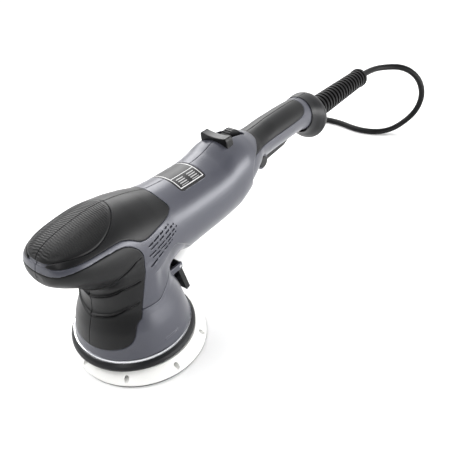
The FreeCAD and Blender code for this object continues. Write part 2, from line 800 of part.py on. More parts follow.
def make_speed_dial():
    guard = side_prism([(133.5, 140), (136.0, 154.6), (143.5, 156.0), (145.8, 140)], -16.5, 16.5)
    guard = guard.cut(block(130, 150, -8.0, 8.0, 153.2, 160.0))
    keep("dial_guard", guard.cut(lofted(BODY)))
    wheel = rod(DIAL_R, -4.5, 4.5, Y_AXIS, at=(DIAL_X, DIAL_Z))
    groove = block(DIAL_X - 0.7, DIAL_X + 0.7, -5.0, 5.0, DIAL_Z + DIAL_R - 0.9, DIAL_Z + 20.0)
    grooves = around(groove, 24, 0.0, V(DIAL_X, 0, DIAL_Z), Y_AXIS)
    wheel = wheel.cut(Part.makeCompound(grooves))
    bore = rod(2.05, -6.0, 6.0, Y_AXIS, at=(DIAL_X, DIAL_Z))
    keep("speed_dial", wheel.cut(bore))
    body = block(DIAL_X - 7.0, DIAL_X + 7.0, 5.0, 11.0, DIAL_Z - 8.0, DIAL_Z + 2.0)
    shaft = rod(2.0, -5.5, 6.0, Y_AXIS, at=(DIAL_X, DIAL_Z))
    keep("dial_potentiometer", body.fuse(shaft))


def make_electronics():
    box = block(128.0, 148.0, -20.0, 20.0, 84.0, 120.0)
    fins = [block(131.0 + 3 * k, 132.4 + 3 * k, -18.0, 18.0, 119.0, 126.0) for k in range(5)]
    keep("motor_controller", box.multiFuse(fins))
    keep("emi_filter", block(160.0, 181.0, -11.0, 11.0, 102.0, 122.0))
    clamp = block(288.0, 298.0, -7.0, 7.0, 102.4, 112.0)
    keep("cord_clamp", clamp.cut(rod(CORD_R + 0.05, 280.0, 300.0, X_AXIS, at=(0, CORD_Z))))


# ---- strain relief, lead, coil and plug -----------------------------------------
def make_strain_relief():
    """A tail in the clamp, a flange in the collar, then sixteen ribs to a round end."""
    outline = [
        (286.0, 0),
        (286.0, CORD_R),
        (312.4, CORD_R),
        (312.4, 14.8),
        (334.0, 14.8),
        (335.5, 13.6),
    ]
    first = 337.5
    pitch = (455.0 - first) / RIB_COUNT
    for k in range(RIB_COUNT):
        x = first + pitch * k
        rib_r = 13.9 - 1.9 * k / RIB_COUNT
        core_r = 9.6 - 2.4 * k / RIB_COUNT
        outline += [
            (x, core_r),
            (x + 0.35 * pitch, core_r),
            (x + 0.42 * pitch, rib_r),
            (x + 0.88 * pitch, rib_r),
        ]
    outline += [(455.0, 8.0), (456.5, 12.9), (460.5, 12.9), (463.0, 9.5), (463.0, 0)]
    keep("strain_relief", turned_x(outline, CORD_Z))


def rounded_path(points):
    """Straight runs joined by tangent arcs, each as large as its two runs allow."""
    edges = []
    radii = []
    start = points[0]
    for before, corner, after in zip(points, points[1:], points[2:]):
        back = (before - corner).normalize()
        ahead = (after - corner).normalize()
        turn = math.pi - back.getAngle(ahead)
        reach = 0.45 * min((before - corner).Length, (after - corner).Length)
        radius = reach / math.tan(turn / 2)
        middle = (back + ahead).normalize()
        sagitta = radius / math.cos(turn / 2) - radius
        arc_start = corner + back * reach
        arc_end = corner + ahead * reach
        edges.append(Part.LineSegment(start, arc_start).toShape())
        edges.append(Part.Arc(arc_start, corner + middle * sagitta, arc_end).toShape())
        radii.append(radius)
        start = arc_end
    edges.append(Part.LineSegment(start, points[-1]).toShape())
    return Part.Wire(edges), radii


def make_cord():
    route = [V(*point) for point in CORD_ROUTE]
    path, radii = rounded_path(route)
    disc = Part.Wire([Part.Circle(route[0], X_AXIS, CORD_R).toShape()])
    lead = path.makePipeShell([disc], True, False)
    print("cord", round(path.Length), "radii", [round(r) for r in radii])
    print("volume", round(lead.Volume), "of", round(path.Length * math.pi * CORD_R**2))
    half = COIL_ROWS * CORD_R
    centre = V(COIL_X, COIL_Y, 0)
    top = 2 * half + CORD_FLOOR - CORD_R
    coil = turned(
        [
            (COIL_MID_R - half, 2.0),
            (COIL_MID_R - half + 2.0, 0.15),
            (COIL_MID_R + half - 2.0, 0.15),
            (COIL_MID_R + half, 2.0),
            (COIL_MID_R + half, top - 2.0),
            (COIL_MID_R + half - 2.0, top),
            (COIL_MID_R - half + 2.0, top),
            (COIL_MID_R - half, top - 2.0),
        ],
        centre,
    )
    keep("cord_coil", coil)
    angle = math.radians(TAIL_DEG)
    outer = COIL_MID_R + half - CORD_R
    leave = centre + V(outer * math.cos(angle), outer * math.sin(angle), CORD_FLOOR)
    ahead = V(-math.sin(angle), math.cos(angle), 0)
    tail_end = leave + ahead * TAIL_LONG + V(0, 0, PLUG_Z - CORD_FLOOR)
    run = tail_end - leave
    tail = Part.makeCylinder(CORD_R, run.Length, leave, run)
    make_plug(tail_end, ahead)
    keep("cord", Part.makeCompound([lead.cut(coil), tail.cut(coil).cut(PARTS["plug"])]))


def make_plug(start, ahead):
    """A round-ended two-pin plug lying on its flat side, made along +X, then turned."""
    sleeve = turned_x([(0, 0), (0.1, 5.6), (20.0, 8.4), (22.0, 10.5), (22.0, 0)], 0)
    body = block(22.0, 56.0, -8.75, 8.75, -12.6, 12.6)
    side = rod(12.6, 22.0, 56.0, X_AXIS, at=(8.75, 0)).common(block(20, 60, 0, 30, -13, 13))
    other = side.mirror(V(0, 0, 0), Y_AXIS)
    plug = sleeve.multiFuse([body, side, other])
    pins = []
    for y in (-9.5, 9.5):
        pin = rod(PIN_R, 56.5, 56.5 + PIN_LONG, X_AXIS, at=(y, 0))
        pins.append(pin.fuse(rod(PIN_NECK_R, 50.0, 56.5, X_AXIS, at=(y, 0))))
    pins = Part.makeCompound(pins)
    plug = plug.cut(pins)
    turn = math.degrees(math.atan2(ahead.y, ahead.x))
    for shape in (plug, pins):
        shape.rotate(V(0, 0, 0), Z_AXIS, turn)
        shape.translate(start)
    keep("plug", plug)
    keep("plug_pins", pins)


def main():
    make_plate()
    make_spindle()
    make_gear_case()
    make_motor()
    make_housing()
    make_lock_lever()
    make_rings()
    make_handle()
    make_trigger()
    make_speed_dial()
    make_electronics()
    make_strain_relief()
    make_cord()
    os.makedirs("parts", exist_ok=True)
    for name, shape in PARTS.items():
        shape.exportStep("parts/" + name + ".step")
        box = shape.BoundBox
        print(
            name, len(shape.Solids), round(shape.Volume), shape.isValid(),
            [round(v, 1) for v in (box.XMin, box.XMax, box.YMin, box.YMax, box.ZMin, box.ZMax)],
        )


main()
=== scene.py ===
"""Looks of the dual action polisher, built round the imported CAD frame.

The moulded shells are made as distance fields on a grid, in millimetres, from the same
outline stations as the CAD model, and turned into meshes in metres.
"""

import json
import math

import bpy
import numpy as np
import openvdb as vdb
from mathutils import Matrix, Vector


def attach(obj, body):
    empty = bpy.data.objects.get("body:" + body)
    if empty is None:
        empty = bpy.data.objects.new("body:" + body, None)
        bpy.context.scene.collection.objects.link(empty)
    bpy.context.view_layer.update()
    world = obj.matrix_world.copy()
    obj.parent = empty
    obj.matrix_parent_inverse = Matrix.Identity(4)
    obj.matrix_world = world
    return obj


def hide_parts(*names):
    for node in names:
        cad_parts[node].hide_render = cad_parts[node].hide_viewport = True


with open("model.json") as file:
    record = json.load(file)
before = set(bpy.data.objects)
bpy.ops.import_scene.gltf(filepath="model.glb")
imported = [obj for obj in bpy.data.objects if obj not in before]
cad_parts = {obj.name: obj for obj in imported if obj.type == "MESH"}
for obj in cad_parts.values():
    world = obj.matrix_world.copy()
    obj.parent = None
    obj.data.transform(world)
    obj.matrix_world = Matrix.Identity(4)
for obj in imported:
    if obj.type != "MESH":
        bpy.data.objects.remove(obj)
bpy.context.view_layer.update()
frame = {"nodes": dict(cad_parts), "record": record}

MM = 0.001
SEAM = 0.14            # half the gap between the two halves of the housing
SEAM_EDGE = 0.35       # rounding of the edges along it
THIN_SEAM = SEAM * 0.8     # the same for the rubber on the body and the handle
THIN_SEAM_EDGE = 0.3
SKIN = 1.6             # rubber thickness
SKIN_LIFT = 0.1        # air under the rubber
SKIN_GAP = 0.05        # rubber's edge inside its outline
SKIN_EDGE = 0.8        # rounding of the rubber's edge
RECESS_GAP = 0.25      # edge of the rubber's recess outside the same outline
RIM_EDGE = 1.2         # rounding of the body's rim over the handle
JOINT_GAP = 0.15       # plastic's edge from the joint with the bell
JOINT_EDGE = 0.7
WALL = 3.0             # plastic thickness
FAR = 3.0              # fields are cut off this many cells from the surface

# Tubes along X: X, top, bottom, half width
BODY = [
    (-79.9, 130.0, 129.0, 1.0),
    (-78.4, 137.5, 122.5, 14.0),
    (-75.0, 145.8, 119.0, 21.0),
    (-69.0, 150.5, 114.5, 26.5),
    (-60.0, 153.6, 108.5, 30.8),
    (-45.0, 156.3, 97.0, 34.8),
    (-20.0, 158.2, 82.0, 38.0),
    (0.0, 155.8, 73.0, 38.5),
    (20.0, 151.0, 68.5, 37.6),
    (40.0, 144.8, 67.0, 36.2),
    (60.0, 142.6, 67.5, 35.2),
    (98.0, 141.6, 68.0, 35.0),
    (116.0, 143.6, 68.0, 35.0),
    (135.0, 148.9, 68.5, 35.0),
    (150.0, 149.8, 73.0, 34.0),
    (165.0, 147.0, 82.0, 31.5),
    (180.0, 141.2, 93.5, 27.0),
    (192.0, 136.4, 99.5, 22.5),
]
HANDLE = [
    (148.0, 141.0, 77.0, 31.8),
    (165.0, 140.2, 85.5, 29.6),
    (180.0, 138.4, 94.5, 25.6),
    (192.0, 136.6, 98.4, 21.6),
    (206.0, 137.1, 99.2, 19.7),
    (226.0, 138.4, 99.2, 19.2),
    (255.0, 138.4, 99.0, 19.0),
    (280.0, 137.6, 98.4, 18.8),
    (300.0, 136.0, 94.5, 19.6),
    (312.0, 134.6, 89.5, 21.4),
]
COLLAR = [
    (294.0, 137.4, 94.8, 20.4),
    (301.0, 137.2, 89.0, 22.6),
    (308.0, 136.9, 81.8, 26.2),
    (313.5, 136.2, 78.3, 28.2),
    (318.5, 134.0, 80.4, 27.0),
    (322.3, 128.5, 86.0, 21.5),
]
BELL = [                   # Z, radius
    (20.0, 54.4),
    (23.6, 54.0),
    (29.0, 52.6),
    (39.0, 50.3),
    (47.0, 48.1),
    (54.6, 45.2),
    (61.0, 42.6),
    (67.0, 40.6),
    (75.0, 39.6),
    (100.0, 39.0),
    (110.0, 38.0),
]
# Closed (X, Z) outlines of the rubber zones, seen from the side
CAP_OUTLINE = [
    (-95.0, 140.4),
    (-60.0, 140.4),
    (-24.0, 140.6),
    (-15.0, 137.0),
    (-7.0, 131.0),
    (0.0, 129.0),
    (20.0, 130.2),
    (32.0, 130.4),
    (40.5, 133.6),
    (37.0, 142.0),
    (33.0, 170.0),
    (-95.0, 170.0),
]
CHIN_OUTLINE = [
    (-95.0, 133.2),
    (-78.0, 134.4),
    (-66.0, 136.6),
    (-27.0, 137.0),
    (-18.0, 133.5),
    (-12.0, 128.0),
    (-8.5, 122.0),
    (-7.6, 117.0),
    (-8.4, 104.0),
    (-18.0, 61.0),
    (-25.5, 56.0),
    (-28.4, 50.0),
    (-31.5, 43.5),
    (-36.0, 38.0),
    (-44.0, 33.6),
    (-56.0, 30.0),
    (-95.0, 30.0),
]
RIM_OUTLINE = [            # where the handle shows behind the body's rim
    (330.0, 180.0),
    (189.0, 180.0),
    (189.0, 137.0),
    (172.0, 131.5),
    (158.0, 123.0),
    (152.5, 112.0),
    (156.0, 99.0),
    (173.0, 86.0),
    (186.0, 60.0),
    (330.0, 60.0),
]
GRIP_OUTLINE = [
    (140.0, 112.0),
    (152.5, 116.3),
    (157.0, 119.0),
    (162.0, 122.5),
    (168.0, 124.8),
    (176.0, 125.2),
    (190.0, 124.0),
    (206.0, 123.5),
    (266.0, 123.5),
    (275.0, 124.3),
    (281.0, 127.0),
    (284.5, 131.0),
    (285.4, 135.0),
    (285.0, 150.0),
    (140.0, 150.0),
]
VENT_ROWS = [              # X, Z, slope, then where each slot starts and ends along X
    (0.0, 122.7, 0.11, [(-0.4, 4.6), (6.9, 13.2), (15.6, 19.4), (23.0, 25.0), (27.8, 28.2)]),
    (0.0, 119.0, 0.115, [(1.2, 10.0), (13.2, 18.8), (22.1, 26.3), (29.1, 31.4), (33.9, 34.2)]),
    (0.0, 114.1, 0.15, [(-1.4, 6.0), (9.0, 18.2), (20.6, 27.4), (30.2, 33.0), (36.4, 36.8)]),
    (0.0, 109.9, 0.19, [(2.3, 10.4), (12.9, 19.3), (21.9, 26.0), (28.5, 30.6), (33.2, 33.5)]),
    (0.0, 104.6, 0.28, [(-2.0, 6.0), (8.4, 13.8), (16.6, 20.0), (22.3, 24.2), (26.7, 27.0)]),
]
VENT_HALF = 0.62           # half the height of a slot
VENT_FAR = 9.0             # the slots' field goes no higher
CREASE = [                 # upper edge of the hollow behind the neck
    (4.0, 95.8),
    (7.0, 96.2),
    (14.6, 98.0),
    (22.5, 102.1),
    (29.0, 104.9),
    (34.0, 104.6),
    (44.0, 97.0),
    (59.5, 83.5),
    (70.0, 76.0),
]
SCOOP_DEPTH = 2.8
RIB_ANGLES = (0, 15, 29, 39, 45, 68)       # degrees from the front of the neck
RIBS = [                   # height of each ledge at those angles
    (99.5, 101.5, 104.0, 107.0, 110.0, 118.6),
    (80.0, 83.0, 86.0, 89.0, 91.6, 95.9),
    (61.0, 63.0, 65.2, 68.2, 70.3, 76.4),
]
BODY_SCREWS = [            # X, Z, distance of the head's face from the seam
    (-58.0, 126.0, 29.4),
    (12.0, 141.0, 25.2),
    (125.6, 104.0, 34.4),
]
HANDLE_SCREWS = [
    (201.0, 111.5, 17.4),
    (276.0, 110.5, 16.2),
]
BORE_R = 3.6               # round the screws' heads
BORE_DEPTH = 3.3
BORE_EDGE = 0.4
PAD = (-43.0, 35.0, 27.5)      # centre X, half length, half width
SPLIT = (66.6, 0.38)           # height and slope of the joint between bell and body
BELL_BACK = 42.0               # X where the slope ends, behind the neck
BELL_TOP = 66.4                # height of the joint from there to the bell's rear
BELL_REAR = 60.0
NECK_TOP = 104.0               # where the neck ends inside the body
NECK_TOP_EDGE = 4.0
NECK_BLEND = 7.0               # fillet between the body and the neck

# Boxes: lowest corner, highest corner
LABEL_BED = ((62, -20, 120), (97, 20, 170))
LABEL_FILM = ((62.2, -19.8, 100), (96.8, 19.8, 170))
LABEL_CORNER = 3.0
LABEL_DEPTH = 0.9
FILM_TOP, FILM_BOTTOM = 0.15, 0.8      # below the body's surface
DIAL_WELL = ((146, -9.5, 130), (174, 9.5, 170))
DIAL_WELL_CORNER, DIAL_WELL_EDGE = 2.5, 0.8
TRIGGER_SLOT = ((190.5, -8.6, 70), (266, 8.6, 109.5))
TRIGGER_SLOT_CORNER, TRIGGER_SLOT_EDGE = 1.0, 0.6
BELL_LUG = ((34, -22.6, 58.5), (51, -19.6, 65.5))
BEZEL_HOLE = (189.0, 107.0, 8.6, 10.0)     # X, Z, radius, distance from the seam
PAWL_HOLE = (30.0, 4.4)                    # Z, radius

# ---- camera, light and floor ----------------------------------------------------
CAMERA_PLACE = (-0.2313, -0.3003, 0.3867)
CAMERA_RIGHT = (0.5998, -0.7992, -0.0400)
CAMERA_UP = (0.4851, 0.3233, 0.8125)
CAMERA_BACK = (-0.6364, -0.5067, 0.5816)
SENSOR_WIDTH = 36.0
LENS = 43.3
LIGHTS = [                 # name, place, target, size, watts
    ("key", (-0.55, 0.75, 1.2), (0.05, 0, 0.12), (0.9, 0.9), 15),
    ("top", (0.3, 0.1, 1.6), (0.2, 0, 0), (2.2, 2.2), 11),
    ("strip", (-0.9, -0.3, 1.0), (-0.05, 0, 0.1), (0.1, 0.8), 4.5),
    ("rim", (0.75, 0.9, 0.8), (0.1, 0, 0.12), (1.2, 0.8), 16),
    ("fill", (0.45, -0.9, 0.2), (0.1, 0, 0.1), (1.1, 0.3), 10),
]
DIM_SIDE = (-0.62, -0.45, 0.64)    # the studio is dim in this direction
DIM_FROM, DIM_TO = -0.1, 0.75      # cosines of the angle where the fade starts and ends
BRIGHT, DIM = 1.35, 0.1
FLOOR_HALF = 30


def make_camera():
    data = bpy.data.cameras.new("camera")
    data.sensor_width = SENSOR_WIDTH
    data.lens = LENS
    camera = bpy.data.objects.new("camera", data)
    bpy.context.scene.collection.objects.link(camera)
    columns = Matrix((CAMERA_RIGHT, CAMERA_UP, CAMERA_BACK)).transposed().to_4x4()
    camera.matrix_world = Matrix.Translation(CAMERA_PLACE) @ columns
    bpy.context.scene.camera = camera


def area_light(name, place, target, size, watts):
    data = bpy.data.lights.new(name, "AREA")
    data.shape = "RECTANGLE"
    data.size, data.size_y = size
    data.energy = watts
    lamp = bpy.data.objects.new(name, data)
    lamp.location = place
    aim = Vector(target) - Vector(place)
    lamp.rotation_euler = aim.to_track_quat("-Z", "Y").to_euler()
    bpy.context.scene.collection.objects.link(lamp)


def make_world():
    """A white studio that fades towards one side, so that gloss has something to show."""
    world = bpy.data.worlds.new("studio")
    bpy.context.scene.world = world
    world.use_nodes = True
    tree = world.node_tree
    sky = tree.nodes["Background"]
    sky.inputs["Color"].default_value = (1, 1, 1, 1)
    heading = tree.nodes.new("ShaderNodeTexCoord")
    towards = tree.nodes.new("ShaderNodeVectorMath")
    towards.operation = "DOT_PRODUCT"
    towards.inputs[1].default_value = DIM_SIDE
    fade = tree.nodes.new("ShaderNodeMapRange")
    fade.interpolation_type = "SMOOTHSTEP"
    fade.inputs["From Min"].default_value = DIM_FROM
    fade.inputs["From Max"].default_value = DIM_TO
    fade.inputs["To Min"].default_value = BRIGHT
    fade.inputs["To Max"].default_value = DIM
    tree.links.new(heading.outputs["Generated"], towards.inputs[0])
    tree.links.new(towards.outputs["Value"], fade.inputs["Value"])
    tree.links.new(fade.outputs["Result"], sky.inputs["Strength"])


def make_floor():
    low, high = -FLOOR_HALF, FLOOR_HALF
    corners = [(low, low, 0), (high, low, 0), (high, high, 0), (low, high, 0)]
    mesh = bpy.data.meshes.new("floor")
    mesh.from_pydata(corners, [], [(0, 1, 2, 3)])
    mesh.materials.append(material("floor", (0.9, 0.9, 0.9), 0.7, grain=0.02, grain_scale=60))
    floor = bpy.data.objects.new("floor", mesh)
    bpy.context.scene.collection.objects.link(floor)


make_camera()
for light in LIGHTS:
    area_light(*light)
make_world()
bpy.context.scene.view_settings.view_transform = "Standard"


# ---- materials ------------------------------------------------------------------
CLOUD_SCALE = 18.0         # patches of duller and glossier surface
CLOUD_DETAIL = 3.0
GRAIN_DETAIL = 2.0
GRAIN_DEPTH = 0.0002


def material(name, colour, rough, metal=0.0, grain=0.0, grain_scale=900.0, vary=0.0,
             spec=0.5, sheen=0.0):
    """A plastic, rubber, metal or fabric finish: base shader, uneven gloss and fine bump."""
    made = bpy.data.materials.new(name)
    made.use_nodes = True
    tree = made.node_tree
    shader = tree.nodes["Principled BSDF"]
    shader.inputs["Base Color"].default_value = (*colour, 1)
    shader.inputs["Roughness"].default_value = rough
    shader.inputs["Metallic"].default_value = metal
    shader.inputs["Specular IOR Level"].default_value = spec
    shader.inputs["Sheen Weight"].default_value = sheen
    place = tree.nodes.new("ShaderNodeTexCoord")
    if vary:
        cloud = tree.nodes.new("ShaderNodeTexNoise")
        cloud.inputs["Scale"].default_value = CLOUD_SCALE
        cloud.inputs["Detail"].default_value = CLOUD_DETAIL
        tree.links.new(place.outputs["Object"], cloud.inputs["Vector"])
        mix = tree.nodes.new("ShaderNodeMapRange")
        mix.inputs["To Min"].default_value = rough * (1 - vary)
        mix.inputs["To Max"].default_value = rough * (1 + vary)
        tree.links.new(cloud.outputs["Fac"], mix.inputs["Value"])
        tree.links.new(mix.outputs["Result"], shader.inputs["Roughness"])
    if grain:
        noise = tree.nodes.new("ShaderNodeTexNoise")
        noise.inputs["Scale"].default_value = grain_scale
        noise.inputs["Detail"].default_value = GRAIN_DETAIL
        tree.links.new(place.outputs["Object"], noise.inputs["Vector"])
        bump = tree.nodes.new("ShaderNodeBump")
        bump.inputs["Strength"].default_value = grain
        bump.inputs["Distance"].default_value = GRAIN_DEPTH
        tree.links.new(noise.outputs["Fac"], bump.inputs["Height"])
        tree.links.new(bump.outputs["Normal"], shader.inputs["Normal"])
    return made


# name, colour, roughness, metal, grain, grain scale, unevenness of the gloss
GREY = material("grey_plastic", (0.056, 0.058, 0.074), 0.3, 0.15, 0.1, 1400, 0.12, spec=0.5)
RUBBER = material("grip_rubber", (0.004, 0.0041, 0.0046), 0.4, 0, 0.25, 1600, 0.15, spec=0.24)
PAD_RUBBER = material("pad_rubber", (0.004, 0.004, 0.0045), 0.42, 0, 0.3, 1500, 0.1, spec=0.24)
DARK = material("dark_plastic", (0.008, 0.0082, 0.0095), 0.38, 0, 0.15, 1200, 0.15, spec=0.25)
BLACK = material("black_plastic", (0.004, 0.004, 0.0045), 0.34, 0, 0.12, 1300, 0.15, spec=0.25)
SILVER = material("silver_ring", (0.8, 0.81, 0.84), 0.2, 0.85, 0.05, 900, 0.2)
WHITE = material("white_plate", (0.83, 0.83, 0.81), 0.42, 0, 0.15, 700, 0.15)
FABRIC = material("hook_fabric", (0.03, 0.03, 0.03), 0.95, 0, 1.0, 900, 0.0, sheen=0.4)
STEEL = material("steel", (0.6, 0.6, 0.61), 0.3, 1.0, 0.15, 500, 0.3)
BLACK_STEEL = material("black_steel", (0.05, 0.05, 0.052), 0.4, 1.0, 0.2, 700, 0.2)
ALLOY = material("cast_alloy", (0.55, 0.56, 0.57), 0.5, 1.0, 0.6, 450, 0.2)
IRON = material("machined_iron", (0.2, 0.2, 0.21), 0.45, 1.0, 0.3, 350, 0.2)
COPPER = material("copper_wire", (0.7, 0.32, 0.14), 0.35, 1.0, 0.5, 600, 0.2)
BOARD = material("circuit_board", (0.02, 0.14, 0.06), 0.4, 0, 0.2, 800, 0.1)
FAN = material("fan_plastic", (0.42, 0.42, 0.4), 0.5, 0, 0.2, 900, 0.1)
BLUE = material("filter_blue", (0.03, 0.08, 0.3), 0.3, 0, 0.1, 900, 0.1)
CORD = material("cord_rubber", (0.003, 0.003, 0.0033), 0.4, 0, 0.2, 1500, 0.15, spec=0.16)
NICKEL = material("nickel_pin", (0.72, 0.7, 0.64), 0.22, 1.0, 0.05, 700, 0.2)
LABEL = material("label_film", (0.008, 0.008, 0.009), 0.4, 0, 0.05, 1200, 0.1, spec=0.3)
LABEL_FRAME = (79.5, 15.2, 17.6, 0.38)     # centre X, half sizes along X and Y, half line
LABEL_DIVIDER = (-5.5, 0.3)                # Y, half line
LABEL_COLUMNS = (72.5, 86.5, 4.5)          # two centres, half width
LABEL_ROWS = (-11.8, 4.4)                  # centre Y, half width
BAR_RATE, BAR_SHARE = 0.42, 0.42           # bars per mm, printed share of each
BAR_INK = 0.6
FILM_BLACK = (0.01, 0.01, 0.011, 1)
INK_GREY = (0.62, 0.62, 0.62, 1)


def print_label(made):
    """Draws a plain frame, a divider and rows of bars on the label, in millimetres."""
    tree = made.node_tree
    place = tree.nodes.new("ShaderNodeTexCoord")
    parts = tree.nodes.new("ShaderNodeSeparateXYZ")
    tree.links.new(place.outputs["Object"], parts.inputs["Vector"])

    def math_node(kind, *values):
        node = tree.nodes.new("ShaderNodeMath")
        node.operation = kind
        for socket, value in zip(node.inputs, values):
            if isinstance(value, (int, float)):
                socket.default_value = value
            else:
                tree.links.new(value, socket)
        return node.outputs["Value"]

    middle, half_x, half_y, half_line = LABEL_FRAME
    first, second, half_column = LABEL_COLUMNS
    x = math_node("MULTIPLY", parts.outputs["X"], 1 / MM)
    y = math_node("MULTIPLY", parts.outputs["Y"], 1 / MM)
    from_middle = math_node("ABSOLUTE", math_node("SUBTRACT", x, middle))
    side_x = math_node("SUBTRACT", from_middle, half_x)
    side_y = math_node("SUBTRACT", math_node("ABSOLUTE", y), half_y)
    rim = math_node("MAXIMUM", side_x, side_y)
    within = math_node("LESS_THAN", rim, 0.0)
    line = math_node("COMPARE", rim, 0.0, half_line)
    divider = math_node("MULTIPLY", math_node("COMPARE", y, *LABEL_DIVIDER), within)
    phase = math_node("FRACT", math_node("MULTIPLY", y, BAR_RATE))
    stripe = math_node("LESS_THAN", phase, BAR_SHARE)
    columns = math_node(
        "ADD",
        math_node("COMPARE", x, first, half_column),
        math_node("COMPARE", x, second, half_column),
    )
    bars = math_node("MULTIPLY", columns, stripe)
    bars = math_node("MULTIPLY", bars, math_node("COMPARE", y, *LABEL_ROWS))
    faint = math_node("MULTIPLY", bars, BAR_INK)
    ink = math_node("MAXIMUM", math_node("MAXIMUM", line, divider), faint)
    mix = tree.nodes.new("ShaderNodeMix")
    mix.data_type = "RGBA"
    factor, film, printed = mix.inputs[0], mix.inputs[6], mix.inputs[7]
    film.default_value = FILM_BLACK
    printed.default_value = INK_GREY
    tree.links.new(ink, factor)
    tree.links.new(mix.outputs[2], tree.nodes["Principled BSDF"].inputs["Base Color"])


print_label(LABEL)

FINISH = {
    "housing_grey": GREY,
    "grip_rubber": RUBBER,
    "pad_rubber": PAD_RUBBER,
    "dark_plastic": DARK,
    "black_plastic": BLACK,
    "silver_ring": SILVER,
    "label_film": LABEL,
    "plate_white": WHITE,
    "hook_fabric": FABRIC,
    "steel": STEEL,
    "black_steel": BLACK_STEEL,
    "gear_steel": STEEL,
    "bearing_steel": STEEL,
    "cast_alloy": ALLOY,
    "counterweight_iron": IRON,
    "laminations": IRON,
    "magnet": IRON,
    "copper": COPPER,
    "board_green": BOARD,
    "fan_plastic": FAN,
    "spring_steel": STEEL,
    "switch_plastic": BLACK,
    "filter_blue": BLUE,
    "cord_rubber": CORD,
    "pin_nickel": NICKEL,
}
SLOT_OF = {part["node"]: part["material_slot"] for part in frame["record"]["subparts"]}
BODY_OF = {
    node: body for body, nodes in frame["record"]["behaviour"]["bodies"].items() for node in nodes
}
CAD_SHARP_DEG = 32
for node, thing in frame["nodes"].items():
    thing.data.materials.clear()
    thing.data.materials.append(FINISH[SLOT_OF[node]])
    for face in thing.data.polygons:
        face.use_smooth = True
    thing.data.set_sharp_from_angle(angle=math.radians(CAD_SHARP_DEG))


# ---- placing pieces -------------------------------------------------------------
def add_piece(name, mesh, node):
    """Files a mesh as the visible form of a CAD node and makes it ride with it."""
    mesh.materials.clear()
    mesh.materials.append(FINISH[SLOT_OF[node]])
    thing = bpy.data.objects.new(name, mesh)
    bpy.context.scene.collection.objects.link(thing)
    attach(thing, BODY_OF[node])
    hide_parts(node)


def raw_mesh(name, points, faces, sharp_deg):
    """A mesh in metres from points in millimetres and faces of three or four corners."""
    mesh = bpy.data.meshes.new(name)
    mesh.vertices.add(len(points))
    mesh.vertices.foreach_set("co", (np.asarray(points, np.float32) * MM).ravel())
    sizes = np.concatenate([np.full(len(f), f.shape[1], np.int32) for f in faces if len(f)])
    corners = np.concatenate([f.astype(np.int32).ravel() for f in faces if len(f)])
    starts = np.concatenate([[0], np.cumsum(sizes)[:-1]]).astype(np.int32)
    mesh.loops.add(len(corners))
    mesh.loops.foreach_set("vertex_index", corners)
    mesh.polygons.add(len(sizes))
    mesh.polygons.foreach_set("loop_start", starts)
    mesh.polygons.foreach_set("loop_total", sizes)
    mesh.polygons.foreach_set("use_smooth", np.ones(len(sizes), bool))
    mesh.update(calc_edges=True)
    mesh.validate()
    mesh.set_sharp_from_angle(angle=math.radians(sharp_deg))
    return mesh


# ---- distance fields ------------------------------------------------------------
LEAST_SLOPE, MOST_SLOPE = 0.3, 4.0     # limits of a field's steepness when it is scaled
TINY = 1e-6
LEVEL = 1e-9           # an edge that rises less is level
CORNER_CUTS = 2
CAP_SOFT = 0.16        # share of an edge that each corner cut takes off
SOFT = 0.25


class Grid:
    """Sample points between two corners of a box, in millimetres, as axes x, y and z."""

    def __init__(self, low, high, step):
        self.low = np.array(low, float)
        self.step = step
        axes = [np.arange(a, b + step, step, dtype=np.float32) for a, b in zip(low, high)]
        self.x = axes[0][:, None, None]
        self.y = axes[1][None, :, None]
        self.z = axes[2][None, None, :]

    def distance(self, field):
        """Scales a field so that it measures distance near its surface."""
        slopes = np.gradient(field, self.step)
        steep = np.sqrt(slopes[0] ** 2 + slopes[1] ** 2 + slopes[2] ** 2)
        return field / np.clip(steep, LEAST_SLOPE, MOST_SLOPE)

    def mesh(self, field, name, flip=False, mirror=False, sharp_deg=35.0):
        """A mesh of the field's zero surface; flip is the other side, mirror is both."""
        cells = np.clip(field / self.step, -FAR, FAR).astype(np.float32)
        cells[0], cells[-1] = FAR, FAR
        cells[:, 0], cells[:, -1] = FAR, FAR
        cells[:, :, 0], cells[:, :, -1] = FAR, FAR
        grid = vdb.FloatGrid(background=FAR)
        grid.copyFromArray(np.ascontiguousarray(cells))
        points, triangles, quads = grid.convertToPolygons(isovalue=0, adaptivity=0)
        points = points * self.step + self.low
        faces = [triangles, quads]
        if flip:
            points = points * (1, -1, 1)
            faces = [f[:, ::-1] for f in faces]
        if mirror:
            count = len(points)
            points = np.vstack([points, points * (1, -1, 1)])
            faces = [np.vstack([f, f[:, ::-1] + count]) if len(f) else f for f in faces]
        return raw_mesh(name, points, faces, sharp_deg)


def smooth_min(a, b, radius):
    """The union of two fields, with a fillet."""
    mix = np.clip(0.5 + 0.5 * (b - a) / radius, 0, 1)
    return b + (a - b) * mix - radius * mix * (1 - mix)


def smooth_max(a, b, radius):
    """The overlap of two fields, with a rounded edge."""
    return -smooth_min(-a, -b, radius)


